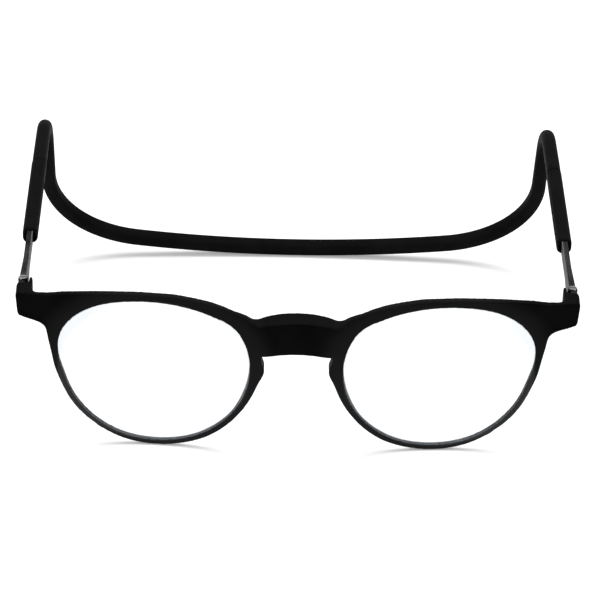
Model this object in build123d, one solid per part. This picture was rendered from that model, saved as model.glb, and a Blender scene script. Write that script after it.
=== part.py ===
from build123d import *
from math import asin, cos, radians, sin
import os

# Magnetic bridge reading glasses, standing on the lower rims and on the middle of the headband.
# X runs across the face, Y from the front to the back of the head, and Z up. Left means the -X side.
# The front parts at the bridge, where two magnets hold it. Each half swings on a barrel hinge at the
# end of a flat steel arm, and each arm slides in a moulded sleeve that the headband is bonded to.
# The front is drawn upright in its own frame: X across, Z up from the foot of the rims, Y to the rear
# from the front face. The temple is drawn in a frame at the hinge: Y along the arm, Z along the screw.

# Driving sizes, in millimetres and degrees
lens_width = 46.4
lens_height = 40.8
lens_spacing = 23.0
front_lean = 12.0
wrap_radius = 450.0
temple_rise = 6.6
arm_exposed = 27.4
sleeve_length = 40.0
temple_straight = 18.5
overrun = 5.0

# Front sizes
rim_depth = 1.9
rim_side = 1.9
rim_foot = 1.2
rim_top = 1.5

# Bridge sizes
parting_gap = 0.1
bridge_depth = 5.4
bridge_height = 8.15
bridge_drop = 6.35
bridge_sag = 1.45
bridge_half = 9.7
bridge_notch_depth = 4.5
bridge_reach = 16.5
bridge_round = 0.6
nose_half_gap = 7.85
nose_key_out = 0.75
nose_key_drop = 2.25
nose_narrow_share = 0.43
nose_arch = 0.55

# Nose pad sizes
pad_depth = 4.6
pad_fall = 9.0
pad_foot_fall = 7.0
pad_run = 3.6

# Endpiece sizes
endpiece_out = 10.7
endpiece_height = 7.0
endpiece_top_drop = 1.8
endpiece_taper = 0.5
endpiece_corner = 1.0
lug_width = 4.0
lug_depth = 8.0
lug_round = 0.6
lug_sweep = 2.4
lug_sweep_back = 3.2

# Lens sizes
lens_front_radius = 130.0
lens_rear_radius = 271.0
lens_thickness = 1.9
lens_bulge = 1.2
groove_front = 0.55
groove_width = 0.6
groove_depth = 0.4
lens_fit = 0.05

# Magnet sizes
magnet_radius = 1.7
magnet_length = 3.0
magnet_fit = 0.03
magnet_recess = 0.05

# Hinge sizes
hinge_inset = 1.6
hinge_ahead = 1.1
hinge_notch = 1.7
hinge_cheek_gap = 0.25
barrel_radius = 1.2
barrel_height = 1.6
arm_barrel_height = 2.7
barrel_play = 0.05
leaf_thickness = 1.0
leaf_embed = 3.0
leaf_fit = 0.04
leaf_gap = 0.1
screw_radius = 0.55
screw_fit = 0.03
screw_head_radius = 1.0
screw_head_height = 0.4
screw_slot_width = 0.3
screw_slot_depth = 0.2

# Arm sizes
arm_width = 1.5
arm_height = 3.2
arm_root_width = 2.3
arm_root_straight = 1.5
arm_root_length = 14.0
arm_tang_height = 1.9

# Detent shoe sizes
shoe_length = 6.0
shoe_width = 2.2
shoe_height = 3.2
shoe_fit = 0.03
shoe_play = 0.1
nib_radius = 0.52
nib_reach = 0.75

# Sleeve and headband sizes
section_width = 3.8
section_height = 4.2
section_round = 1.5
sleeve_dome = 1.4
mouth_wall = 3.0
mouth_play = 0.1
mouth_recess = 1.4
mouth_lip = 0.5
click_pitch = 5.5
clicks_in = 2
clicks_out = 2
click_radius = 0.95
click_slot_width = 1.2
click_end_play = 0.5
tongue_length = 8.0
tongue_fit = 0.03
ear_bend_radius = 20.0
band_slope = 56.9
corner_bend_radius = 28.2
rear_bend_turn = 8.7

# Shares of the lens's half width and half height, once round from the temple side, upwards first
opening_shares = [
    (0.987, 0.02),
    (0.905, 0.605),
    (0.476, 0.932),
    (0.013, 1.0),
    (-0.441, 0.913),
    (-0.872, 0.6),
    (-0.998, 0.02),
    (-0.828, -0.532),
    (-0.453, -0.897),
    (0.013, -1.0),
    (0.466, -0.87),
    (0.808, -0.502),
]
# Shares of the rim's outer half width and half height, from the nose pad round under the lens
rim_under_shares = [
    (-1.0, -0.143),
    (-0.805, -0.569),
    (-0.542, -0.845),
    (-0.259, -0.97),
    (0.03, -1.0),
    (0.398, -0.9),
    (0.633, -0.718),
    (0.837, -0.431),
    (0.975, -0.028),
    (1.035, 0.33),
]
# Shares of the same sizes, from the endpiece over the lens to the bridge
rim_over_shares = [
    (0.64, 0.962),
    (0.28, 0.99),
    (0.0, 1.0),
    (-0.24, 0.985),
    (-0.43, 0.935),
    (-0.72, 0.825),
    (-0.9, 0.73),
]

# Places that follow from the sizes
lens_x = (lens_spacing + lens_width) / 2
lens_z = rim_foot + lens_height / 2
half_front_width = lens_spacing / 2 + lens_width + endpiece_out
rim_crown = lens_z + lens_height / 2 + rim_top
endpiece_top = rim_crown - endpiece_top_drop
bridge_top = rim_crown - bridge_drop
bridge_under = bridge_top - bridge_height
nose_key_level = bridge_under - nose_key_drop
rim_nose_level = lens_z + rim_under_shares[0][1] * (lens_height / 2 + rim_foot)
nose_level = nose_key_level - nose_narrow_share * (nose_key_level - rim_nose_level)
temple_x = half_front_width - hinge_inset
shoe_at = arm_exposed + mouth_wall + shoe_length / 2 + clicks_out * click_pitch + click_end_play
cavity_width = shoe_width + 2 * shoe_play
cavity_height = shoe_height + 2 * shoe_play
sleeve_end = arm_exposed + sleeve_length
barrel_stack = 2 * barrel_height + arm_barrel_height + 2 * barrel_play
arm_tail = shoe_at + shoe_length / 2


def wrap_depth(across):
    """How far the front face has curved back at this distance from the bridge."""
    return wrap_radius - (wrap_radius**2 - across**2) ** 0.5


hinge_depth = wrap_depth(half_front_width) + lug_depth - hinge_ahead


def wrap_shell(front, rear):
    """The curved slab between two depths behind the front face."""
    tall = 2 * (lens_height + overrun)
    around = Pos(0, wrap_radius, 0)
    outer = around * Cylinder(wrap_radius - front, tall * 2)
    inner = around * Cylinder(wrap_radius - rear, tall * 2)
    return outer - inner


def upright(face):
    """A face drawn on the front's XZ plane, run through the whole depth of the front."""
    reach = wrap_depth(half_front_width) + lug_depth + 2 * overrun
    return extrude(Pos(0, -overrun, 0) * face, amount=-reach)


def share_points(shares_list, half_width, half_height):
    return [(lens_x + across * half_width, lens_z + up * half_height) for across, up in shares_list]


def lens_face(grow):
    """The lens opening's outline, grown all round, as a face on the front's XZ plane."""
    points = share_points(opening_shares, lens_width / 2 + grow, lens_height / 2 + grow)
    return Plane.XZ * make_face(Spline(*points, periodic=True))


def half_outline():
    """The right half of the front, seen from ahead: rim, half a bridge and endpiece in one outline."""
    parting = parting_gap / 2
    half_width = lens_width / 2 + rim_side
    under = share_points(rim_under_shares, half_width, lens_height / 2 + rim_foot)
    over = share_points(rim_over_shares, half_width, lens_height / 2 + rim_top)
    key = (nose_half_gap + nose_key_out, nose_key_level)
    nose = (nose_half_gap, nose_level)
    notch = (bridge_half, bridge_top - bridge_sag)
    side_low = endpiece_top - endpiece_height
    out_low = half_front_width - endpiece_taper
    neck = (lens_spacing / 2 + lens_width + 2 * rim_side, side_low - rim_side)
    chin = (half_front_width - lug_width / 2, side_low)
    brow_end = (half_front_width - lug_width - lug_sweep, endpiece_top)
    arch = Spline(
        (parting, bridge_under),
        (key[0] * 2 / 3, bridge_under - nose_arch),
        key,
        tangents=[(1, 0), (0, -1)],
    )
    pad_side = Spline(key, nose, under[0], tangents=[(0, -1), (1, -3)])
    rim_under = Spline(*under, tangents=[(1, -3), (1, 5)])
    cheek = Spline(under[-1], neck, chin, tangents=[(1, 5), (out_low - chin[0], endpiece_taper)])
    jaw = Line(chin, (out_low, side_low + endpiece_taper))
    side = Line((out_low, side_low + endpiece_taper), (half_front_width, endpiece_top))
    brow = Line((half_front_width, endpiece_top), brow_end)
    rim_over = Spline(brow_end, *over, notch, tangents=[(-1, 0), (-1, 0)])
    crown = TangentArc((parting, bridge_top), notch, tangent=(1, 0))
    parting_line = Line((parting, bridge_top), (parting, bridge_under))
    edges = [arch, pad_side, rim_under, cheek, jaw, side, brow, rim_over, crown, parting_line]
    sharp = Face(Wire(edges))
    corners = sharp.vertices().filter_by(lambda corner: corner.X > out_low - parting)
    return sharp.fillet_2d(endpiece_corner, corners)


def nose_block(outline_solid):
    """The bridge and nose pad, which stand deeper than the rim and slope back into it."""
    deepest = (0, bridge_depth)
    waist = (bridge_half, bridge_notch_depth)
    end = (bridge_reach, rim_depth)
    plan = make_face(
        Curve()
        + [
            Line((0, -overrun), deepest),
            Spline(deepest, waist, end, tangents=[(1, 0), (5, -1)]),
            Line(end, (bridge_reach, -overrun)),
            Line((bridge_reach, -overrun), (0, -overrun)),
        ]
    )
    clear = bridge_depth + bridge_round
    pad_top = bridge_under - 2 * pad_run
    pad_low = nose_level - pad_fall
    foot = pad_low - pad_foot_fall
    profile = make_face(
        Curve()
        + [
            Line((-overrun, foot), (-overrun, rim_crown)),
            Line((-overrun, rim_crown), (clear, rim_crown)),
            Line((clear, rim_crown), (clear, bridge_under)),
            Spline(
                (clear, bridge_under),
                (pad_depth, pad_top),
                (pad_depth, pad_low + pad_run),
                (rim_depth / 2, foot),
                tangents=[(0, -1), (-1, -2)],
            ),
            Line((rim_depth / 2, foot), (-overrun, foot)),
        ]
    )
    tall = extrude(plan, amount=rim_crown)
    side_on = Plane.YZ * profile
    wide = Pos(-overrun, 0, 0) * extrude(side_on, amount=2 * overrun + bridge_reach)
    return outline_solid & tall & wide


def lug(outline_solid):
    """The block behind the endpiece that holds the hinge leaf, swept back out of the rim."""
    inner = half_front_width - lug_width
    swept = inner - lug_sweep
    outer = half_front_width + overrun
    depth = wrap_depth(half_front_width) + lug_depth
    start = wrap_depth(swept) + rim_depth - groove_depth
    sweep_end = (inner, start + lug_sweep_back)
    plan = make_face(
        Curve()
        + [
            Line((swept, -overrun), (swept, start)),
            Spline((swept, start), sweep_end, tangents=[(1, 0), (0, 1)]),
            Line(sweep_end, (inner, depth)),
            Line((inner, depth), (outer, depth)),
            Line((outer, depth), (outer, -overrun)),
            Line((outer, -overrun), (swept, -overrun)),
        ]
    )
    return outline_solid & extrude(plan, amount=rim_crown)


def leaf_plate(fit):
    """The flat of the hinge leaf, in the temple's frame, grown by a fit all round."""
    front = -(hinge_notch + leaf_embed) - fit
    rear = -(barrel_radius + leaf_gap)
    width = leaf_thickness + 2 * fit
    height = barrel_stack + 2 * fit
    return Pos(0, (front + rear) / 2, 0) * Box(width, rear - front, height)


def rear_edges(solid, depth):
    """The edges of a solid that lie wholly behind a depth and off the parting plane."""
    boxes = [(edge, edge.bounding_box()) for edge in solid.edges()]
    return [edge for edge, box in boxes if box.min.Y > depth and box.max.X > parting_gap]


def nose_edges(nose):
    """The rear edges round the nose gap, under the bridge and short of the slope into the rim."""
    reach = nose_half_gap + nose_key_out
    edges = rear_edges(nose, rim_depth + bridge_round)
    low = [edge for edge in edges if edge.center().Z < bridge_under + bridge_round]
    return [edge for edge in low if edge.center().X < reach]


def half_front():
    """The right half of the front, in the front's frame, with no pocket for the hinge leaf yet."""
    outline_solid = upright(Plane.XZ * half_outline())
    behind_face = wrap_shell(rim_depth / 2, wrap_depth(half_front_width) + lug_depth + overrun)
    nose = nose_block(outline_solid) & behind_face
    nose = fillet(nose_edges(nose), bridge_round)
    corner = lug(outline_solid) & behind_face
    lug_rear = wrap_depth(half_front_width) + lug_depth - lug_round
    corner = fillet(rear_edges(corner, lug_rear), lug_round)
    front = outline_solid & wrap_shell(0, rim_depth)
    front += nose + corner
    opening = upright(lens_face(0))
    groove = upright(lens_face(groove_depth)) & wrap_shell(groove_front, groove_front + groove_width)
    return front - opening - groove - hinge_room()


def hinge_room():
    """The corner cut from the lug, in the front's frame, so that the barrels can turn beside a cheek."""
    cheek = temple_x - barrel_radius - hinge_cheek_gap
    ahead = hinge_depth - hinge_notch
    return Pos(cheek + lug_width / 2, ahead + lug_depth / 2, rim_crown / 2) * Box(lug_width, lug_depth, rim_crown)


def lens():
    """A meniscus lens whose edge carries a tongue for the rim's groove."""
    turn = asin(lens_x / wrap_radius)
    ahead = Vector(sin(turn), -cos(turn), 0)
    vertex = Vector(lens_x, wrap_depth(lens_x), lens_z) + ahead * lens_bulge
    blank = Pos(*(vertex - ahead * lens_front_radius)) * Sphere(lens_front_radius)
    hollow = Pos(*(vertex - ahead * (lens_thickness + lens_rear_radius))) * Sphere(lens_rear_radius)
    body = upright(lens_face(-lens_fit)) & (blank - hollow)
    tongue_shell = wrap_shell(groove_front + lens_fit, groove_front + groove_width - lens_fit)
    tongue = upright(lens_face(groove_depth - lens_fit)) & tongue_shell
    return body + (tongue - upright(lens_face(-rim_side)))


def magnet_bore(radius, start, length):
    middle = Pos(start + length / 2, bridge_depth / 2, (bridge_top + bridge_under) / 2)
    return middle * Rot(0, 90, 0) * Cylinder(radius, length)


def hinge_leaf():
    """A plate set in the lug, with an upper and a lower barrel round the screw."""
    neck = Pos(0, -(barrel_radius + leaf_gap) / 2, 0)
    barrels = Part()
    for side in (-1, 1):
        level = side * (barrel_stack - barrel_height) / 2
        barrels += Pos(0, 0, level) * Cylinder(barrel_radius, barrel_height)
        barrels += Pos(0, 0, level) * neck * Box(leaf_thickness, barrel_radius + leaf_gap, barrel_height)
    return leaf_plate(0) + barrels - Cylinder(screw_radius + screw_fit, 2 * barrel_stack)


def hinge_screw():
    head = Pos(0, 0, (barrel_stack + screw_head_height) / 2) * Cylinder(screw_head_radius, screw_head_height)
    slot_at = barrel_stack / 2 + screw_head_height - screw_slot_depth / 2
    slot = Pos(0, 0, slot_at) * Box(2 * barrel_radius, screw_slot_width, screw_slot_depth)
    return Cylinder(screw_radius, barrel_stack) + head - slot


def arm():
    """The flat steel arm: a barrel at the screw, a root that tapers to the bar, and a thin tang."""
    half_root = arm_root_width / 2
    half_bar = arm_width / 2
    bar_end = arm_tail - shoe_length
    plan = make_face(
        Polyline(
            (-half_root, 0),
            (-half_root, arm_root_straight),
            (-half_bar, arm_root_length),
            (-half_bar, bar_end),
            (half_bar, bar_end),
            (half_bar, arm_root_length),
            (half_root, arm_root_straight),
            (half_root, 0),
            close=True,
        )
    )
    bar = Pos(0, 0, -arm_height / 2) * extrude(plan, amount=arm_height)
    root_trim = Cylinder(barrel_radius + leaf_gap, arm_barrel_height)
    collar = Cylinder(barrel_radius + leaf_gap, 2 * arm_height) - root_trim
    barrel = Cylinder(barrel_radius, arm_barrel_height)
    tang = Pos(0, bar_end + shoe_length / 2, 0) * Box(arm_width, shoe_length, arm_tang_height)
    return bar - collar + barrel + tang - Cylinder(screw_radius + screw_fit, 2 * arm_height)


def detent_shoe():
    """The block on the arm's tang, with the nib that clicks from notch to notch."""
    block = Box(shoe_width, shoe_length, shoe_height)
    pocket = Box(arm_width + 2 * shoe_fit, shoe_length, arm_tang_height + 2 * shoe_fit)
    nib_length = shoe_width / 2 - arm_width / 2 - shoe_fit + nib_reach
    nib_at = -(shoe_width / 2 + nib_reach - nib_length / 2)
    nib = Pos(nib_at, 0, 0) * Rot(0, 90, 0) * Cylinder(nib_radius, nib_length)
    return Pos(0, shoe_at, 0) * (block - pocket + nib)


def section_face(at, inset=0):
    """The section that the band and the sleeves share, drawn smaller by an inset all round."""
    width = section_width - 2 * inset
    height = section_height - 2 * inset
    return at * RectangleRounded(width, height, section_round - inset)


def sleeve():
    """The moulded sleeve: domed nose, slotted mouth, cavity for the shoe and a scalloped inner slot."""
    rearward = Plane(origin=(0, arm_exposed, 0), x_dir=(-1, 0, 0), z_dir=(0, 1, 0))
    body = extrude(section_face(rearward), amount=sleeve_length)
    nose = body.faces().sort_by(Axis.Y)[0]
    body = fillet(nose.edges(), sleeve_dome)
    mouth_length = mouth_wall + overrun
    mouth_at = arm_exposed + mouth_wall - mouth_length / 2
    mouth = Pos(0, mouth_at, 0) * Box(arm_width + 2 * mouth_play, mouth_length, arm_height + 2 * mouth_play)
    recess = extrude(section_face(rearward, mouth_lip), amount=mouth_recess)
    cavity_front = arm_exposed + mouth_wall
    cavity_length = sleeve_end - cavity_front
    cavity_at = cavity_front + cavity_length / 2
    cavity = Pos(0, cavity_at, 0) * Box(cavity_width, cavity_length, cavity_height)
    return body - mouth - recess - cavity - click_track()


def click_track():
    """The long slot through the sleeve's inner wall, with a round notch at each click."""
    first = shoe_at - clicks_out * click_pitch
    last = shoe_at + clicks_in * click_pitch
    across = section_width / 2 - shoe_width / 2
    inward = Pos(-(shoe_width / 2 + across / 2), 0, 0)
    track = Pos(0, (first + last) / 2, 0) * Box(across * 2, last - first, click_slot_width)
    for click in range(-clicks_out, clicks_in + 1):
        notch = Rot(0, 90, 0) * Cylinder(click_radius, across * 2)
        track += Pos(0, shoe_at + click * click_pitch, 0) * notch
    return inward * track


def straight(at, length):
    """A straight length of the band's section, and the place where it ends."""
    return at * extrude(section_face(Pos(0, 0, 0)), amount=length), at * Pos(0, 0, length)


def bend_down(at, radius, turn):
    """A bend of the band in the upright plane of the temple."""
    piece = revolve(section_face(Pos(0, 0, 0)), Axis((0, -radius, 0), (1, 0, 0)), revolution_arc=turn)
    return at * piece, at * Pos(0, -radius, 0) * Rot(turn, 0, 0) * Pos(0, radius, 0)


def bend_in(at, radius, turn):
    """A bend of the band towards the other side of the head."""
    piece = revolve(section_face(Pos(0, 0, 0)), Axis((radius, 0, 0), (0, 1, 0)), revolution_arc=turn)
    return at * piece, at * Pos(radius, 0, 0) * Rot(0, turn, 0) * Pos(-radius, 0, 0)


def half_headband(hinge):
    """The right half of the band: over the ear, down behind it and round to the middle of the head."""
    rise = radians(temple_rise)
    slope = radians(band_slope)
    temple_end = sleeve_end + temple_straight
    tongue_at = Pos(0, sleeve_end - tongue_length / 2, 0)
    tongue = tongue_at * Box(cavity_width - 2 * tongue_fit, tongue_length, cavity_height - 2 * tongue_fit)
    rearward = Location(Plane(origin=(0, sleeve_end, 0), x_dir=(-1, 0, 0), z_dir=(0, 1, 0)))
    at = hinge * rearward
    temple, at = straight(at, temple_straight)
    ear, at = bend_down(at, ear_bend_radius, temple_rise + band_slope)
    last_turn = radians(90 - rear_bend_turn)
    flat_half = section_width / 2 - section_round
    tall_half = section_height / 2 - section_round
    rest_height = section_round + flat_half * sin(slope) + tall_half * cos(slope)
    corner_in = corner_bend_radius * (1 - cos(last_turn))
    rear_radius = (temple_x - corner_in) / cos(last_turn)
    corner_along = corner_bend_radius * sin(last_turn)
    rear_along = rear_radius * (1 - sin(last_turn))
    down = (at.position.Z - rest_height) / sin(slope)
    fall, at = straight(at, down - corner_along - rear_along)
    corner, at = bend_in(at, corner_bend_radius, 90 - rear_bend_turn)
    rear, at = bend_in(at, rear_radius, rear_bend_turn)
    return hinge * tongue + temple + ear + fall + corner + rear


def mirrored(piece):
    return mirror(piece, about=Plane.YZ)


def assemble():
    """Every piece by name, with the part standing on Z = 0 and centred on the origin."""
    front = half_front()
    magnet_start = parting_gap / 2 + magnet_recess
    front -= magnet_bore(magnet_radius + magnet_fit, 0, magnet_start + magnet_length)
    lean = Rot(front_lean, 0, 0)
    foot = (lean * front).bounding_box().min.Z
    stand = Pos(0, 0, -foot) * lean
    hinge_point = stand * Pos(temple_x, hinge_depth, endpiece_top - endpiece_height / 2)
    hinge = Pos(*hinge_point.position) * Rot(temple_rise, 0, 0)
    half_band = half_headband(hinge)
    pieces = {
        "front": stand * front - hinge * leaf_plate(leaf_fit),
        "lens": stand * lens(),
        "magnet": stand * magnet_bore(magnet_radius, magnet_start, magnet_length),
        "hinge_leaf": hinge * hinge_leaf(),
        "hinge_screw": hinge * hinge_screw(),
        "arm": hinge * arm(),
        "detent_shoe": hinge * detent_shoe(),
        "sleeve": hinge * sleeve(),
    }
    near = pieces["front"].bounding_box().min.Y
    far = half_band.bounding_box().max.Y
    centre = Pos(0, -(near + far) / 2, 0)
    named = {"headband": centre * (half_band + mirrored(half_band))}
    for name, piece in pieces.items():
        named["right_" + name] = centre * piece
        named["left_" + name] = mirrored(centre * piece)
    return named, centre * hinge


parts, hinge_place = assemble()
os.makedirs("parts", exist_ok=True)
for name, piece in parts.items():
    piece.label = name
    export_step(piece, "parts/" + name + ".step")
print("Right hinge centre", hinge_place.position)
travel_end = shoe_at + clicks_in * click_pitch + shoe_length / 2
print("Room behind the shoe at its last click", sleeve_end - tongue_length - travel_end)
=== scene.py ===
# %% [markdown]
# # Magnetic bridge reading glasses
# The glasses come in as a packed CAD model: seventeen solids, in metres, each already where it
# belongs. This lesson dresses that model for a photograph. It sets a camera and a plain studio,
# rounds the moulded edges that CAD left sharp, remakes the soft headband as one smooth swept form,
# and gives every piece a finish built from shader nodes.

# %% Load the packed model
import bmesh
import bpy
import numpy as np
from math import cos, radians, sin
from mathutils import Euler, Matrix, Vector


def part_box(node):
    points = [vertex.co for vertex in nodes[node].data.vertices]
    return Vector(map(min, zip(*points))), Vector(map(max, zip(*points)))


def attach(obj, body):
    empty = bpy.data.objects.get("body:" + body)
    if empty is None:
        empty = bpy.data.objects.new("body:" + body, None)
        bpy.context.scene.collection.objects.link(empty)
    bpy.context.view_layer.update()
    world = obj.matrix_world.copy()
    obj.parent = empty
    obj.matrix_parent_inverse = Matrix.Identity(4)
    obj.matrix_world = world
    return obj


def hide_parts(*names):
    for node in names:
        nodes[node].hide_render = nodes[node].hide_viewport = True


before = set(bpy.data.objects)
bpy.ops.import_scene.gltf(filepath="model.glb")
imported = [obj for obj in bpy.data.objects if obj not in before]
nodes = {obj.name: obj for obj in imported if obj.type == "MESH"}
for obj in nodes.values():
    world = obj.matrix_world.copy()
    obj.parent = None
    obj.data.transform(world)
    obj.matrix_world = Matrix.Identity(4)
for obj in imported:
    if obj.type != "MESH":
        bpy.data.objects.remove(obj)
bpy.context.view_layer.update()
MM = 0.001
print("Pieces", sorted(nodes))

# %% [markdown]
# ## The camera
# The photograph was taken from in front and about twenty two degrees above the floor, with a long
# lens: the far side of the headband is almost as large as the near side of the frame. The camera
# could be aimed by eye, but a turn, a height and a roll round one aim point are easier to correct
# when a render and the photograph are laid side by side. The small roll lowers the right hand side.

# %% Place the camera
aim = Vector((0.47, -63.73, 39.8)) * MM
distance = 900 * MM
turn, height, roll = radians(-1.0), radians(21.89), radians(1.517)

back = Vector((sin(turn) * cos(height), -cos(turn) * cos(height), sin(height)))
level = Vector((cos(turn), sin(turn), 0))
upward = back.cross(level)
across = level * cos(roll) + upward * sin(roll)
up = upward * cos(roll) - level * sin(roll)

camera_data = bpy.data.cameras.new("studio_camera")
camera_data.sensor_width = 36
camera_data.lens = 222.1
camera = bpy.data.objects.new("studio_camera", camera_data)
bpy.context.scene.collection.objects.link(camera)
facing = Matrix((across, up, back)).transposed().to_4x4()
camera.matrix_world = Matrix.Translation(aim + back * distance) @ facing
bpy.context.scene.camera = camera
print("Camera at", [round(v, 3) for v in camera.location])

# %% [markdown]
# ## Shader nodes from plain expressions
# A finish is a small network of nodes. Wiring each node by hand hides the idea, so two helpers do
# the wiring. `Number` wraps a number socket and turns `+`, `-`, `*` and `/` into Math nodes, in
# both orders where a plain number can come first. `Finish` is one material: its `node` method adds
# any other node from its type, its settings and the values or links of its sockets.

# %% A number that can be used in an expression
class Number:
    """A number socket that can be used in a Python expression."""

    def __init__(self, tree, socket):
        self.tree = tree
        self.socket = socket

    def math(self, operation, first, second=0.0):
        """Add a Math node on two values, and return its result as a Number."""
        maths = self.tree.nodes.new("ShaderNodeMath")
        maths.operation = operation
        for slot, value in zip(maths.inputs, (first, second)):
            if isinstance(value, Number):
                self.tree.links.new(value.socket, slot)
            else:
                slot.default_value = value
        return Number(self.tree, maths.outputs[0])

    def __add__(self, other):
        return self.math("ADD", self, other)

    def __radd__(self, other):
        return self.math("ADD", other, self)

    def __sub__(self, other):
        return self.math("SUBTRACT", self, other)

    def __rsub__(self, other):
        return self.math("SUBTRACT", other, self)

    def __mul__(self, other):
        return self.math("MULTIPLY", self, other)

    def __rmul__(self, other):
        return self.math("MULTIPLY", other, self)

    def __truediv__(self, other):
        return self.math("DIVIDE", self, other)

    def __pow__(self, other):
        return self.math("POWER", self, other)

    def __abs__(self):
        return self.math("ABSOLUTE", self)

    def most(self, other):
        return self.math("MAXIMUM", self, other)


print("Number knows + - * / ** abs and most")


# %% A material that adds its own nodes
class Finish:
    """One material. Its Principled shader is kept as `shader`, and `node` adds any other node."""

    def __init__(self, name, **constants):
        self.material = bpy.data.materials.new(name)
        self.material.use_nodes = True
        self.tree = self.material.node_tree
        self.shader = self.tree.nodes["Principled BSDF"]
        self.output = self.tree.nodes["Material Output"]
        for socket, value in constants.items():
            self.put(self.shader, socket, value)

    def put(self, node, socket, value):
        """Set one input of a node to a value, a colour, a Number or another node's output."""
        name = socket.replace("_", " ")
        slot = next(slot for slot in node.inputs if slot.name == name and slot.enabled)
        if isinstance(value, Number):
            self.tree.links.new(value.socket, slot)
        elif isinstance(value, bpy.types.NodeSocket):
            self.tree.links.new(value, slot)
        elif slot.type == "RGBA" and len(value) == 3:
            slot.default_value = (*value, 1)
        else:
            slot.default_value = value

    def feed(self, **sockets):
        """Link what changes over the surface to the Principled shader."""
        for socket, value in sockets.items():
            self.put(self.shader, socket, value)

    def node(self, kind, settings=(), **sockets):
        """Add a node, set it up, and return it."""
        made = self.tree.nodes.new("ShaderNode" + kind)
        for name, value in dict(settings).items():
            setattr(made, name, value)
        for socket, value in sockets.items():
            self.put(made, socket, value)
        return made

    def first(self, kind, settings=(), **sockets):
        """Add a node, and return the first of its outputs that is in use."""
        made = self.node(kind, settings, **sockets)
        return next(socket for socket in made.outputs if socket.enabled)

    def number(self, socket):
        """A socket of this material as a Number."""
        return Number(self.tree, socket)

    def place(self):
        """Where on its piece a point is, in metres. It moves with the piece."""
        return self.node("TexCoord").outputs["Object"]

    def axes(self):
        """The three parts of `place`, in millimetres, as Numbers."""
        parts = self.node("SeparateXYZ", Vector=self.place()).outputs
        return [self.number(part) / MM for part in parts]

    def fade(self, value, start, end):
        """0 until a value reaches start, 1 from end on, and smooth between them."""
        smooth = {"interpolation_type": "SMOOTHSTEP"}
        ends = {"From_Min": start, "From_Max": end}
        return self.number(self.first("MapRange", smooth, Value=value, **ends))

    def grain(self, size, detail=2.0, stretch=(1, 1, 1)):
        """A random pattern about 0.5, with spots of a size in millimetres."""
        scale = [1 / (size * MM * share) for share in stretch]
        vector = self.first("Mapping", Vector=self.place(), Scale=scale)
        return self.number(self.first("TexNoise", Vector=vector, Scale=1.0, Detail=detail))

    def mix(self, share, first, second):
        """A colour between two others."""
        return self.first("Mix", {"data_type": "RGBA"}, Factor=share, A=first, B=second)

    def bump(self, height, depth):
        """Feed a bump that is a depth in millimetres from its low points to its high ones."""
        self.feed(Normal=self.first("Bump", Height=height, Distance=depth * MM))

    def cover(self, share, under, over):
        """A shader that shows one shader, and a share of another in its place."""
        made = self.node("MixShader", Fac=share)
        self.tree.links.new(under, made.inputs[1])
        self.tree.links.new(over, made.inputs[2])
        return made.outputs[0]

    def show(self, shader):
        """Make the surface show this shader in place of the Principled one."""
        self.tree.links.new(shader, self.output.inputs["Surface"])


def dress(names, finish):
    """Give packed pieces a finish in place of the flat colour that they came with."""
    for name in names:
        nodes[name].data.materials.clear()
        nodes[name].data.materials.append(finish.material)


def pair(kind):
    """The names of the left and the right piece of a kind."""
    return ["left_" + kind, "right_" + kind]


print("Finish can add:", [name for name in vars(Finish) if not name.startswith("_")])

# %% [markdown]
# ## The studio
# The photograph shows the glasses on pure white, with only a soft grey shadow where they touch the
# floor. More light would burn out the frame, so the white comes from the floor itself: rays from
# the camera, and reflections, see part of it as a plain white glow, and the rest is a matt surface
# that still takes the shadow. Far from the glasses, where no shadow falls, the glow is all of it,
# and the sky is white to the same rays. Two soft lamps, one overhead and one in front, give the
# dark forms their light.

# %% Floor
floor_reach = 8
glow_near = 0.22
shadows_to = 250
all_glow_from = 700


def seen_directly(tree):
    """1 for rays from the camera and for reflections, 0 for rays that only carry light."""
    rays = tree.nodes.new("ShaderNodeLightPath").outputs
    camera_ray = Number(tree, rays["Is Camera Ray"])
    glossy_ray = Number(tree, rays["Is Glossy Ray"])
    glass_ray = Number(tree, rays["Is Transmission Ray"])
    return camera_ray.most(glossy_ray).most(glass_ray)


floor_mesh = bpy.data.meshes.new("studio_floor")
signs = ((-1, -1), (1, -1), (1, 1), (-1, 1))
corners = [(x * floor_reach, y * floor_reach, 0) for x, y in signs]
floor_mesh.from_pydata(corners, [], [(0, 1, 2, 3)])
studio_floor = bpy.data.objects.new("studio_floor", floor_mesh)
bpy.context.scene.collection.objects.link(studio_floor)

paper = Finish("white_paper")
x, y, _ = paper.axes()
far_off = paper.fade((x ** 2 + y ** 2) ** 0.5, shadows_to, all_glow_from)
matt = paper.first("BsdfDiffuse", Color=(0.97, 0.97, 0.97))
glow = paper.first("Emission", Color=(1, 1, 1), Strength=1.0)
glow_share = seen_directly(paper.tree) * (glow_near + (1 - glow_near) * far_off)
paper.show(paper.cover(glow_share, matt, glow))
floor_mesh.materials.append(paper.material)
print("White floor,", 2 * floor_reach, "metres across")

# %% Sky
sky_light = 0.6
sky = bpy.data.worlds.new("studio_sky")
sky.use_nodes = True
bpy.context.scene.world = sky
background = sky.node_tree.nodes["Background"].inputs
background["Color"].default_value = (1, 1, 1, 1)
sky_strength = sky_light + (1 - sky_light) * seen_directly(sky.node_tree)
sky.node_tree.links.new(sky_strength.socket, background["Strength"])
bpy.context.scene.view_settings.view_transform = "Standard"
print("White sky that lights at", sky_light)

# %% Lamps
glasses_middle = Vector((0, 0, 0.02))


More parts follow.
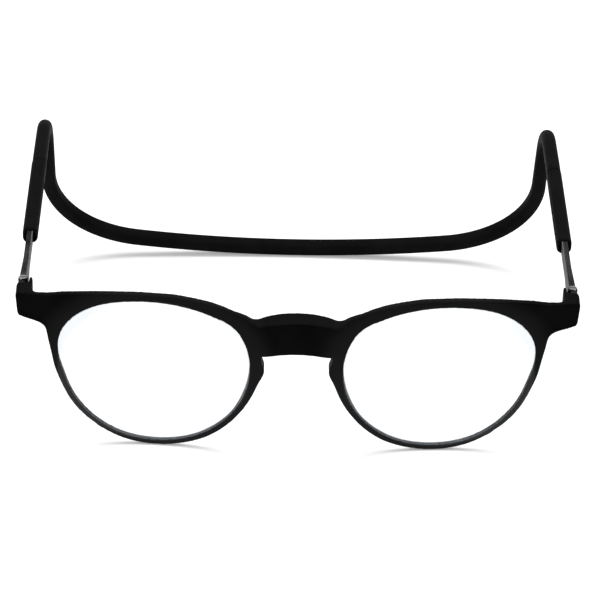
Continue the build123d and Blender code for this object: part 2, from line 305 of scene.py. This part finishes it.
def softbox(name, place, size, power):
    """A square lamp that faces the middle of the glasses."""
    lamp_data = bpy.data.lights.new(name, "AREA")
    lamp_data.size = size
    lamp_data.energy = power
    lamp = bpy.data.objects.new(name, lamp_data)
    bpy.context.scene.collection.objects.link(lamp)
    lamp.location = place
    lamp.rotation_mode = "QUATERNION"
    lamp.rotation_quaternion = (Vector(place) - glasses_middle).to_track_quat("Z", "Y")


softbox("overhead_softbox", place=(0, 0.45, 1.5), size=1.2, power=25.5)
softbox("front_softbox", place=(-0.5, -0.9, 0.7), size=0.6, power=2.5)
print("Two softboxes")

# %% [markdown]
# ## Rounded edges on the fronts
# Each half of the front is moulded, so no edge on it is sharp. A bevel needs clean edge loops, and
# a packed solid is a net of long triangles, so the bevel would tear. Here the two halves are
# rebuilt as one even skin of small squares, because in the photograph they meet without a step. A
# few passes of smoothing wear every edge round. More passes, that go in and out by turns, then calm
# the small ripples that the squares leave, without wearing the form. The squares are laid askew to
# the brow, because along an edge they follow they leave long steps that no smoothing finds. The
# skin is cut in half again at the end.
#
# One wall is too thin for squares this size: the pocket for the hinge leaf ends a tenth of a
# millimetre under the lug's top. The leaf hides the pocket, so the front end of its roof is lowered
# first.

# %% Lower the end of the leaf pocket's roof
roof_end_low = Vector((66.44, -64.95, 41.95)) * MM
roof_end_high = Vector((67.56, -64.3, 42.22)) * MM
roof_drop = 0.6 * MM

solid_half = nodes["right_front"].data.copy()
roof_end = [
    corner
    for corner in solid_half.vertices
    if all(low < at < high for low, at, high in zip(roof_end_low, corner.co, roof_end_high))
]
for corner in roof_end:
    corner.co.z -= roof_drop
print("Corners lowered", len(roof_end))


# %% One even skin over both halves
def modified(mesh, kind, **settings):
    """What one modifier makes of a mesh, as a new mesh."""
    worker = bpy.data.objects.new("worker", mesh)
    bpy.context.scene.collection.objects.link(worker)
    modifier = worker.modifiers.new("step", kind)
    for name, value in settings.items():
        setattr(modifier, name, value)
    result = worker.evaluated_get(bpy.context.evaluated_depsgraph_get())
    made = bpy.data.meshes.new_from_object(result)
    bpy.data.objects.remove(worker)
    return made


def read(items, name, width, kind):
    """One property of many mesh items as an array, a row for each item."""
    values = np.empty(len(items) * width, kind)
    items.foreach_get(name, values)
    return values.reshape(-1, width)


askew = Euler((radians(24), radians(33), radians(17))).to_matrix().to_4x4()
both_halves = modified(solid_half, "MIRROR", merge_threshold=0.15 * MM)
both_halves.transform(askew)
front_skin = modified(both_halves, "REMESH", mode="VOXEL", voxel_size=0.22 * MM)
front_skin.transform(askew.inverted())
points = read(front_skin.vertices, "co", 3, np.float32) / MM
edges = read(front_skin.edges, "vertices", 2, np.int32)
print("Skin of", len(points), "points")


# %% Wear the edges round
def wear(points, edges, shares):
    """Move every point a share of the way to its neighbours' middle, once for each share."""
    ends = np.concatenate([edges[:, 0], edges[:, 1]])
    others = np.concatenate([edges[:, 1], edges[:, 0]])
    count = np.bincount(ends, minlength=len(points))[:, None]
    for share in shares:
        total = [np.bincount(ends, points[others, axis], len(points)) for axis in range(3)]
        points = points + share * (np.stack(total, 1) / count - points)
    return points


round_edges = [0.5] * 12
even_ripples = [0.6, -0.62] * 20
points = wear(points, edges, round_edges + even_ripples)
print("Highest point", round(float(points[:, 2].max()), 2))

# %% [markdown]
# In two places the mould was blended by hand: where the brow runs into the crown, and where the lug
# rises from the brow. More passes of the same wear would take the whole front down, so a softer
# copy is made, and only these two places are taken from it.

# %% Blend two inner corners
softer = [0.5] * 60
crown_foot_out, crown_foot_width = 12, 3.4
crown_foot_high = (31, 34)
lug_foot_share = 0.6
lug_foot_out = (61, 63.5, 65.6, 67)
lug_foot_high = (35, 38)


def rise(values, start, end):
    """0 up to start, 1 from end on, and smooth between them."""
    share = np.clip((values - start) / (end - start), 0, 1)
    return share * share * (3 - 2 * share)


def rise_and_fall(values, up_from, up_to, down_from, down_to):
    """0, then 1 between two slopes, then 0 again."""
    return rise(values, up_from, up_to) * (1 - rise(values, down_from, down_to))


soft_points = wear(points, edges, softer)
out, high = abs(points[:, 0]), points[:, 2]
crown_foot = np.exp(-(((out - crown_foot_out) / crown_foot_width) ** 2))
crown_foot *= rise(high, *crown_foot_high)
lug_foot = rise_and_fall(out, *lug_foot_out) * rise(high, *lug_foot_high)
softened = crown_foot + lug_foot_share * lug_foot
points += (soft_points - points) * softened[:, None]
print("Blended points", int((softened > 0.1).sum()))

# %% [markdown]
# Set beside the photograph, the brow and the crown come out a hair thin, most of all on the slopes
# down to the bridge, and the arch under the bridge sits a little high. Points outside a lens
# opening are eased up or down, by little more than a millimetre at most, and the opening itself
# stays put for its lens.

# %% Ease the brow and the arch
lens_middle = (34.9, 21.4)
lens_half = (23.2, 19.9)
lift_by_place = {
    0: 0.36, 6: 0.35, 9.5: 0.6, 12: 0.46, 13.5: 0.44, 15: 0.58, 18: 1.0,
    21: 1.05, 24: 0.8, 27: 0.62, 36: 0.68, 46: 0.54, 57: 0.45, 61: 0.0,
}
crown_side = (8, 14)
crown_from, brow_from, lift_whole_after = 31, 24, 7
outside_lens = (1.02, 1.1)
arch_out = (8.6, 11)
arch_high = (26.6, 28.8, 30, 36)
arch_corner = (3.5, 8.2)
arch_drop_middle, arch_drop_corner = 0.66, 1.36


def round_lens(x, z):
    """How far out a point lies round its lens: 0 in the middle, 1 at the opening's wall."""
    off_x = (abs(x) - lens_middle[0]) / lens_half[0]
    off_z = (z - lens_middle[1]) / lens_half[1]
    return (off_x ** 2 + off_z ** 2) ** 0.5


out, high = abs(points[:, 0]), points[:, 2]
lift_from = crown_from - (crown_from - brow_from) * rise(out, *crown_side)
brow = rise(high, lift_from, lift_from + lift_whole_after)
brow *= rise(round_lens(out, high), *outside_lens)
lift = brow * np.interp(out, list(lift_by_place), list(lift_by_place.values()))

arch = rise_and_fall(high, *arch_high) * (1 - rise(out, *arch_out))
deeper = (arch_drop_corner - arch_drop_middle) * rise(out, *arch_corner)
drop = arch * (arch_drop_middle + deeper)
points[:, 2] += lift - drop
print("Largest lift", round(float(lift.max()), 2), "and drop", round(float(drop.max()), 2))

# %% [markdown]
# The skin is now cut in the middle, and each half gets a flat parting face. The skin has closed the
# pocket that the magnet sits in, so the face is filled round a circle, and the circle is sunk by a
# tenth of a millimetre: the plated disc behind it then shows when the glasses are parted.

# %% Sink a round pocket into the parting face
parting_depth = 0.001
pocket_depth = 0.13
pocket_play = 0.03


def sink_pocket(form, side, parting_edges):
    """Fill the parting face round the magnet, and close the circle a little deeper."""
    magnet_low, magnet_high = (Vector(corner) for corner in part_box("right_magnet"))
    middle = (magnet_low + magnet_high) / 2
    radius = (magnet_high.y - magnet_low.y) / 2 + pocket_play * MM
    around = [radians(angle) for angle in range(0, 360, 10)]
    spots = [(middle.y + radius * cos(angle), middle.z + radius * sin(angle)) for angle in around]
    mouth, bottom = (
        [form.verts.new((side * depth * MM, *spot)) for spot in spots]
        for depth in (parting_depth, pocket_depth)
    )
    mouth_edges = [form.edges.new(ends) for ends in zip(mouth, mouth[1:] + mouth[:1])]
    bmesh.ops.triangle_fill(form, use_beauty=True, edges=parting_edges + mouth_edges)
    for index, vertex in enumerate(mouth):
        after = (index + 1) % len(mouth)
        form.faces.new((vertex, mouth[after], bottom[after], bottom[index]))
    form.faces.new(bottom)
    for edge in parting_edges + mouth_edges:
        edge.smooth = False


print("Pocket", pocket_depth, "mm deep")


# %% Cut the skin into a right and a left front
def half_front(name, body, side):
    """One half of the worn skin, closed where the halves meet, standing for its packed piece."""
    form = bmesh.new()
    form.from_mesh(front_skin)
    for vertex, (x, y, z) in zip(form.verts, points.tolist()):
        vertex.co = (side * x * MM, y * MM, z * MM)
    if side < 0:
        bmesh.ops.reverse_faces(form, faces=form.faces)
    cut = bmesh.ops.bisect_plane(
        form,
        geom=form.verts[:] + form.edges[:] + form.faces[:],
        plane_co=(side * parting_depth * MM, 0, 0),
        plane_no=(-side, 0, 0),
        clear_outer=True,
    )
    parting_edges = [item for item in cut["geom_cut"] if isinstance(item, bmesh.types.BMEdge)]
    for face in form.faces:
        face.smooth = True
    sink_pocket(form, side, parting_edges)
    bmesh.ops.recalc_face_normals(form, faces=form.faces)
    mesh = bpy.data.meshes.new(name)
    form.to_mesh(mesh)
    form.free()
    piece = bpy.data.objects.new(name, mesh)
    bpy.context.scene.collection.objects.link(piece)
    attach(piece, body)
    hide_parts(body)
    print(name, len(mesh.polygons), "faces")
    return piece


worn_fronts = [
    half_front("worn_right_front", "right_front", 1),
    half_front("worn_left_front", "left_front", -1),
]

# %% [markdown]
# ## Matt black plastic
# The fronts and sleeves come out of a mould with a fine spark eroded grain, which is what makes
# them matt. The plastic is near black and reflects very little, so the specular level is far below
# the usual. Handling leaves it uneven: some parts are a little smoother than others, and the dust
# and mould bloom on it make patches a shade lighter.

# %% A moulded finish
grain_size, patch_size = 0.16, 9.0
grain_depth = 0.02


def moulded(name, dark, light, level, **constants):
    """A matt black finish between a dark and a light tone, with a specular level."""
    finish = Finish(name, Specular_IOR_Level=level, **constants)
    patches = finish.grain(patch_size, detail=3.0)
    fine = finish.grain(grain_size)
    lighter = (light, light, light * 1.08)
    finish.tones = finish.mix(finish.fade(patches, 0.35, 0.7), (dark,) * 3, lighter)
    finish.feed(Base_Color=finish.tones, Roughness=0.44 + patches * 0.16)
    finish.bump(fine + patches * 0.4, grain_depth)
    return finish


print("Moulded grain of", grain_size, "mm")

# %% [markdown]
# On the fronts two more things show. The wall of each lens opening is polished where the lens was
# snapped in, so it mirrors the white studio near the nose. The thin rims get a painted highlight:
# a lighter grey beside the deep black of the bridge and the lugs, strongest towards their bottom.
# Both follow from where a point lies round the lens, so one number does for both: 1 at the
# opening's wall, and more outside it.

# %% Finish of the fronts
# The rims' painted highlight: a lighter grey, most of it towards the bottom of each rim.
rim_painted_light = (0.013, 0.013, 0.0138)
painted_light_at_top = 0.45
wall_polish = 0.35
rim_ends, rim_low, wall_ends = (1.12, 1.4), (2.0, 34.0), (0.99, 1.03)

front_plastic = moulded(
    "front_plastic", dark=0.0016, light=0.0028, level=0.009, Coat_Roughness=0.25
)
x, _, z = front_plastic.axes()
from_lens = round_lens(x, z)
rim = 1 - front_plastic.fade(from_lens, *rim_ends)
low = 1 - front_plastic.fade(z, *rim_low)
wall = 1 - front_plastic.fade(from_lens, *wall_ends)
# Painted highlight on the rims, lighter towards the bottom.
painted_light_share = rim * (painted_light_at_top + low * (1 - painted_light_at_top))
front_plastic.feed(
    Base_Color=front_plastic.mix(painted_light_share, front_plastic.tones, rim_painted_light),
    Coat_Weight=wall * wall_polish,
)
for piece in worn_fronts:
    piece.data.materials.append(front_plastic.material)
print("Front plastic with polished lens walls")

# %% [markdown]
# The sleeves are the same kind of plastic in a slightly softer black, closer to the band that they
# carry. The tiny shoe inside is plain nylon, a little shinier because it slides.

# %% Finish of the sleeves and shoes
sleeve_plastic = moulded("sleeve_plastic", dark=0.0026, light=0.004, level=0.006)
dress(pair("sleeve"), sleeve_plastic)
shoe_plastic = moulded("shoe_plastic", dark=0.02, light=0.03, level=0.3)
dress(pair("detent_shoe"), shoe_plastic)
print("Sleeves and shoes done")

# %% [markdown]
# ## The lenses
# A reading lens is clear: it lets the floor through almost unchanged and mirrors more of the studio
# the more it is seen from the side. True refraction would be slow and would turn the lens's shadow
# black, so a see-through shader is mixed with a mirror, by how glass divides light at each angle.
# The mirror works from the outside only: from the inside, glass at a slant would mirror everything.
# Close to its edge a faint bluish matt layer is mixed in, as a painted reflection.

# %% Finish of the lenses
# A painted reflection near the lens's edge: a bluish matt layer, strongest at the opening's wall.
painted_reflection_ends = (0.86, 1.02)
painted_reflection_least, painted_reflection_change = 0.1, 0.1

lens_clear = Finish("lens_clear")
x, _, z = lens_clear.axes()
near_lens_edge = lens_clear.fade(round_lens(x, z), *painted_reflection_ends) ** 2
painted_reflection = near_lens_edge * (painted_reflection_least + painted_reflection_change * lens_clear.grain(14.0, detail=1.0))
through = lens_clear.first("BsdfTransparent", Color=(0.975, 0.985, 0.99))
mirror = lens_clear.first("BsdfGlossy", Roughness=0.02)
painted_reflection_shader = lens_clear.first("BsdfDiffuse", Color=(0.3, 0.33, 0.37))
mirrored = lens_clear.number(lens_clear.first("Fresnel", IOR=1.5))
inner_side = lens_clear.number(lens_clear.node("NewGeometry").outputs["Backfacing"])
glass = lens_clear.cover(mirrored * (1 - inner_side), through, mirror)
# The painted reflection is mixed over the glass near the edge.
lens_clear.show(lens_clear.cover(painted_reflection, glass, painted_reflection_shader))
dress(pair("lens"), lens_clear)
print("Lenses clear")

# %% [markdown]
# ## The headband
# The band is one length of soft rubber from sleeve to sleeve. It runs straight back, bends down
# behind the ear, falls, turns in and crosses behind the head. It could be a curve with a round
# bevel, but its section is a rounded oblong that grows rounder over the ear and wider towards the
# back. So rings of points are placed along its route and skinned: a walker carries a place and
# three directions, steps ahead, and turns down or in as it goes.

# %% The route from the right sleeve to the middle of the back
hinge = Vector((67.0, -59.7791, 39.6454))
temple_rise = 6.6
seam_along = 67.4
tongue = 8.0
temple_straight = 18.5
ear_radius, ear_angle = 20.0, 63.5
corner_radius, corner_angle = 28.2, 81.3
rear_height = 2.163

walker = Matrix.Translation(hinge) @ Matrix.Rotation(radians(temple_rise), 4, "X")
walker = walker @ Matrix.Translation((0, seam_along - tongue, 0))
places = [walker.copy()]
lengths = [0.0]


def step(ahead, down=0.0, inward=0.0):
    """Move the walker ahead in millimetres while it turns by small angles in degrees."""
    global walker
    half_dip = Matrix.Rotation(radians(-down / 2), 4, "X")
    half_turn = half_dip @ Matrix.Rotation(radians(inward / 2), 4, "Z")
    walker = walker @ half_turn @ Matrix.Translation((0, ahead, 0)) @ half_turn
    places.append(walker.copy())
    lengths.append(lengths[-1] + ahead)


def straight(length, stride=1.0):
    """A straight run, in even steps of about a stride."""
    count = max(1, round(length / stride))
    for _ in range(count):
        step(length / count)


def bend(radius, angle, way, stride=1.5):
    """An arc of a radius and an angle: way is down or inward, and a stride is in degrees."""
    count = round(angle / stride)
    share = radians(angle / count)
    for _ in range(count):
        step(2 * radius * sin(share / 2), **{way: angle / count})


straight(tongue)
seam_index = len(places) - 1
straight(temple_straight)
bend(ear_radius, ear_angle, "down")

last_turn = 90 - corner_angle
corner_in = corner_radius * (1 - cos(radians(corner_angle)))
corner_along = corner_radius * sin(radians(corner_angle))
rear_radius = (hinge.x - corner_in) / sin(radians(last_turn))
rear_along = rear_radius * (1 - cos(radians(last_turn)))
slope = radians(ear_angle - temple_rise)
fall = (walker.translation.z - rear_height) / sin(slope)
straight(fall - (corner_along + rear_along))
bend(corner_radius, corner_angle, "inward")
bend(rear_radius, last_turn, "inward", stride=0.3)
print("Rear middle of the band at", [round(v, 2) for v in walker.translation])
print("Half of the band is", round(lengths[-1], 1), "mm long")

# %% [markdown]
# Each ring is an oblong with round corners. The corners soften over the ear, the band starts a
# little lower than the sleeve at their seam, and a faint ridge on both sides is where the mould's
# halves met.

# %% Rings along the band
tongue_width, tongue_height, tongue_corner = 2.34, 3.34, 0.3
band_width, band_height, band_corner = 3.6, 4.2, 1.4
ear_along = (2.0, 24.0, 24.0, 62.0)
ear_width, ear_corner = -0.1, 0.33
rear_width, rear_from = 0.2, 70
seam_step = 0.35
corner_steps = 6


def ring(place, width, tall, corner, flash=0.015):
    """The points of a rounded oblong across the route, from the middle of its outer side."""
    outline = []
    for quarter, (side, top) in enumerate(((1, 1), (-1, 1), (-1, -1), (1, -1))):
        middle = (side * (width / 2 - corner), top * (tall / 2 - corner))
        if quarter in (0, 2):
            outline.append((side * (width / 2 + flash), 0))
        for part in range(corner_steps + 1):
            angle = radians(90 * (quarter + part / corner_steps))
            outline.append((middle[0] + corner * cos(angle), middle[1] + corner * sin(angle)))
    return [place @ Vector((a, 0, b)) for a, b in outline]


rings = []
for index, (place, along) in enumerate(zip(places, lengths)):
    if index <= seam_index:
        rings.append(ring(place, tongue_width, tongue_height, tongue_corner, flash=0))
    if index >= seam_index:
        after_seam = along - tongue
        over_ear = rise_and_fall(after_seam, *ear_along)
        edge = seam_step if index == seam_index else 0.0
        wider = ear_width * over_ear + rear_width * min(1, after_seam / rear_from)
        width = band_width + wider - edge
        corner = band_corner + ear_corner * over_ear - edge / 2
        rings.append(ring(place, width, band_height - edge, corner))
print("Rings", len(rings), "points in each", len(rings[0]))


# %% Skin the rings, left and right
def skin(name, rings):
    """A closed tube over a row of rings that all have the same number of points."""
    form = bmesh.new()
    rows = [[form.verts.new(point * MM) for point in outline] for outline in rings]
    for row, following in zip(rows, rows[1:]):
        for index in range(len(row)):
            after = (index + 1) % len(row)
            form.faces.new((row[index], row[after], following[after], following[index]))
    form.faces.new(rows[0])
    form.faces.new(rows[-1])
    bmesh.ops.recalc_face_normals(form, faces=form.faces)
    mesh = bpy.data.meshes.new(name)
    form.to_mesh(mesh)
    form.free()
    mesh.shade_smooth()
    piece = bpy.data.objects.new(name, mesh)
    bpy.context.scene.collection.objects.link(piece)
    return piece


left_rings = [[Vector((-at.x, at.y, at.z)) for at in outline] for outline in rings[:-1]]
band = skin("soft_headband", left_rings + rings[::-1])
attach(band, "band")
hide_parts("headband")
print("Band has", len(band.data.polygons), "faces")

# %% [markdown]
# Soft rubber has no shine of its own, only a faint pale sheen where light skims over it. It comes
# from the same kind of mould as the plastic, so it takes the same grain and patches, a shade
# lighter.

# %% Finish of the band
band_rubber = moulded(
    "band_rubber", dark=0.0034, light=0.0052, level=0.005, Sheen_Weight=0.004, Sheen_Roughness=0.4
)
band.data.materials.append(band_rubber.material)
print("Band rubber done")

# %% [markdown]
# ## Steel
# The arms are flat steel bars with a dark gunmetal coat, brushed along their length. Years of
# sliding in the sleeves wear the coat off the inner edge, where bare steel shows as a lighter
# strip. The hinge's leaf has the same coat, and its screw is plain turned steel. Metal takes its
# look from what it mirrors, so the brushing is a bump and a change in roughness, with only a small
# change of tone. Coated steel mirrors less at a slant than bright steel does, which the specular
# tint sets.

# %% Brushed metal
slant_tint = (0.4, 0.4, 0.4)


def steel(name, dark, light, rough, brush=0.012):
    """Brushed steel between two tones. The brush lines run from front to back."""
    finish = Finish(name, Metallic=1.0, Specular_Tint=slant_tint)
    lines = finish.grain(0.25, detail=3.0, stretch=(1, 60, 1))
    smears = finish.grain(3.0, stretch=(1, 3, 1))
    brushed = finish.fade(lines * 0.5 + smears * 0.5, 0.35, 0.65)
    finish.tones = finish.mix(brushed, (dark,) * 3, (light, light, light * 1.02))
    finish.feed(Base_Color=finish.tones, Roughness=rough + smears * 0.15)
    finish.bump(lines, brush)
    return finish


bare_steel = (0.12, 0.12, 0.123)
bare_to, coated_from = 66.35, 66.6

arm_steel = steel("arm_steel", dark=0.019, light=0.042, rough=0.28)
x, _, _ = arm_steel.axes()
ragged = abs(x) + 0.3 * (arm_steel.grain(4.0) - 0.5)
bare = 1 - arm_steel.fade(ragged, bare_to, coated_from)
arm_steel.feed(Base_Color=arm_steel.mix(bare, arm_steel.tones, bare_steel))
dress(pair("arm"), arm_steel)

hinge_steel = steel("hinge_steel", dark=0.016, light=0.036, rough=0.3)
dress(pair("hinge_leaf"), hinge_steel)
screw_steel = steel("screw_steel", dark=0.18, light=0.3, rough=0.16, brush=0.004)
dress(pair("hinge_screw"), screw_steel)
print("Steel done")

# %% [markdown]
# An arm is stamped from strip and tumbled, so its edges are broken and each catches a thin line of
# light. Its solid has clean long edges, so here a bevel modifier does it.

# %% Broken edges on the arms
def bevel(node, width):
    """Join a packed piece's faces at their seams and take its sharp edges off."""
    joined = node.modifiers.new("joined", "WELD")
    joined.merge_threshold = 0.001 * MM
    cut = node.modifiers.new("broken_edges", "BEVEL")
    cut.width = width * MM
    cut.segments = 3
    cut.limit_method = "ANGLE"
    cut.angle_limit = radians(40)
    cut.harden_normals = True


for name in pair("arm"):
    bevel(nodes[name], width=0.3)
print("Arms bevelled")

# %% [markdown]
# ## The magnets
# Each half of the bridge holds a small plated disc. It shows only when the glasses are parted: a
# warm silvery plating with a fine grain, and dull spots where the two discs knock together.

# %% Finish of the magnets
plating = (0.62, 0.6, 0.56)
dull_spot = (0.3, 0.29, 0.27)

magnet_plate = Finish("magnet_plate", Metallic=1.0)
knocks = magnet_plate.grain(0.5, detail=3.0)
fine_grain = magnet_plate.grain(0.2, detail=1.0, stretch=(50, 1, 1))
magnet_plate.feed(
    Base_Color=magnet_plate.mix(magnet_plate.fade(knocks, 0.5, 0.7), plating, dull_spot),
    Roughness=0.14 + 0.3 * magnet_plate.fade(knocks, 0.45, 0.7),
)
magnet_plate.bump(fine_grain, 0.004)
dress(pair("magnet"), magnet_plate)
print("Magnets done")
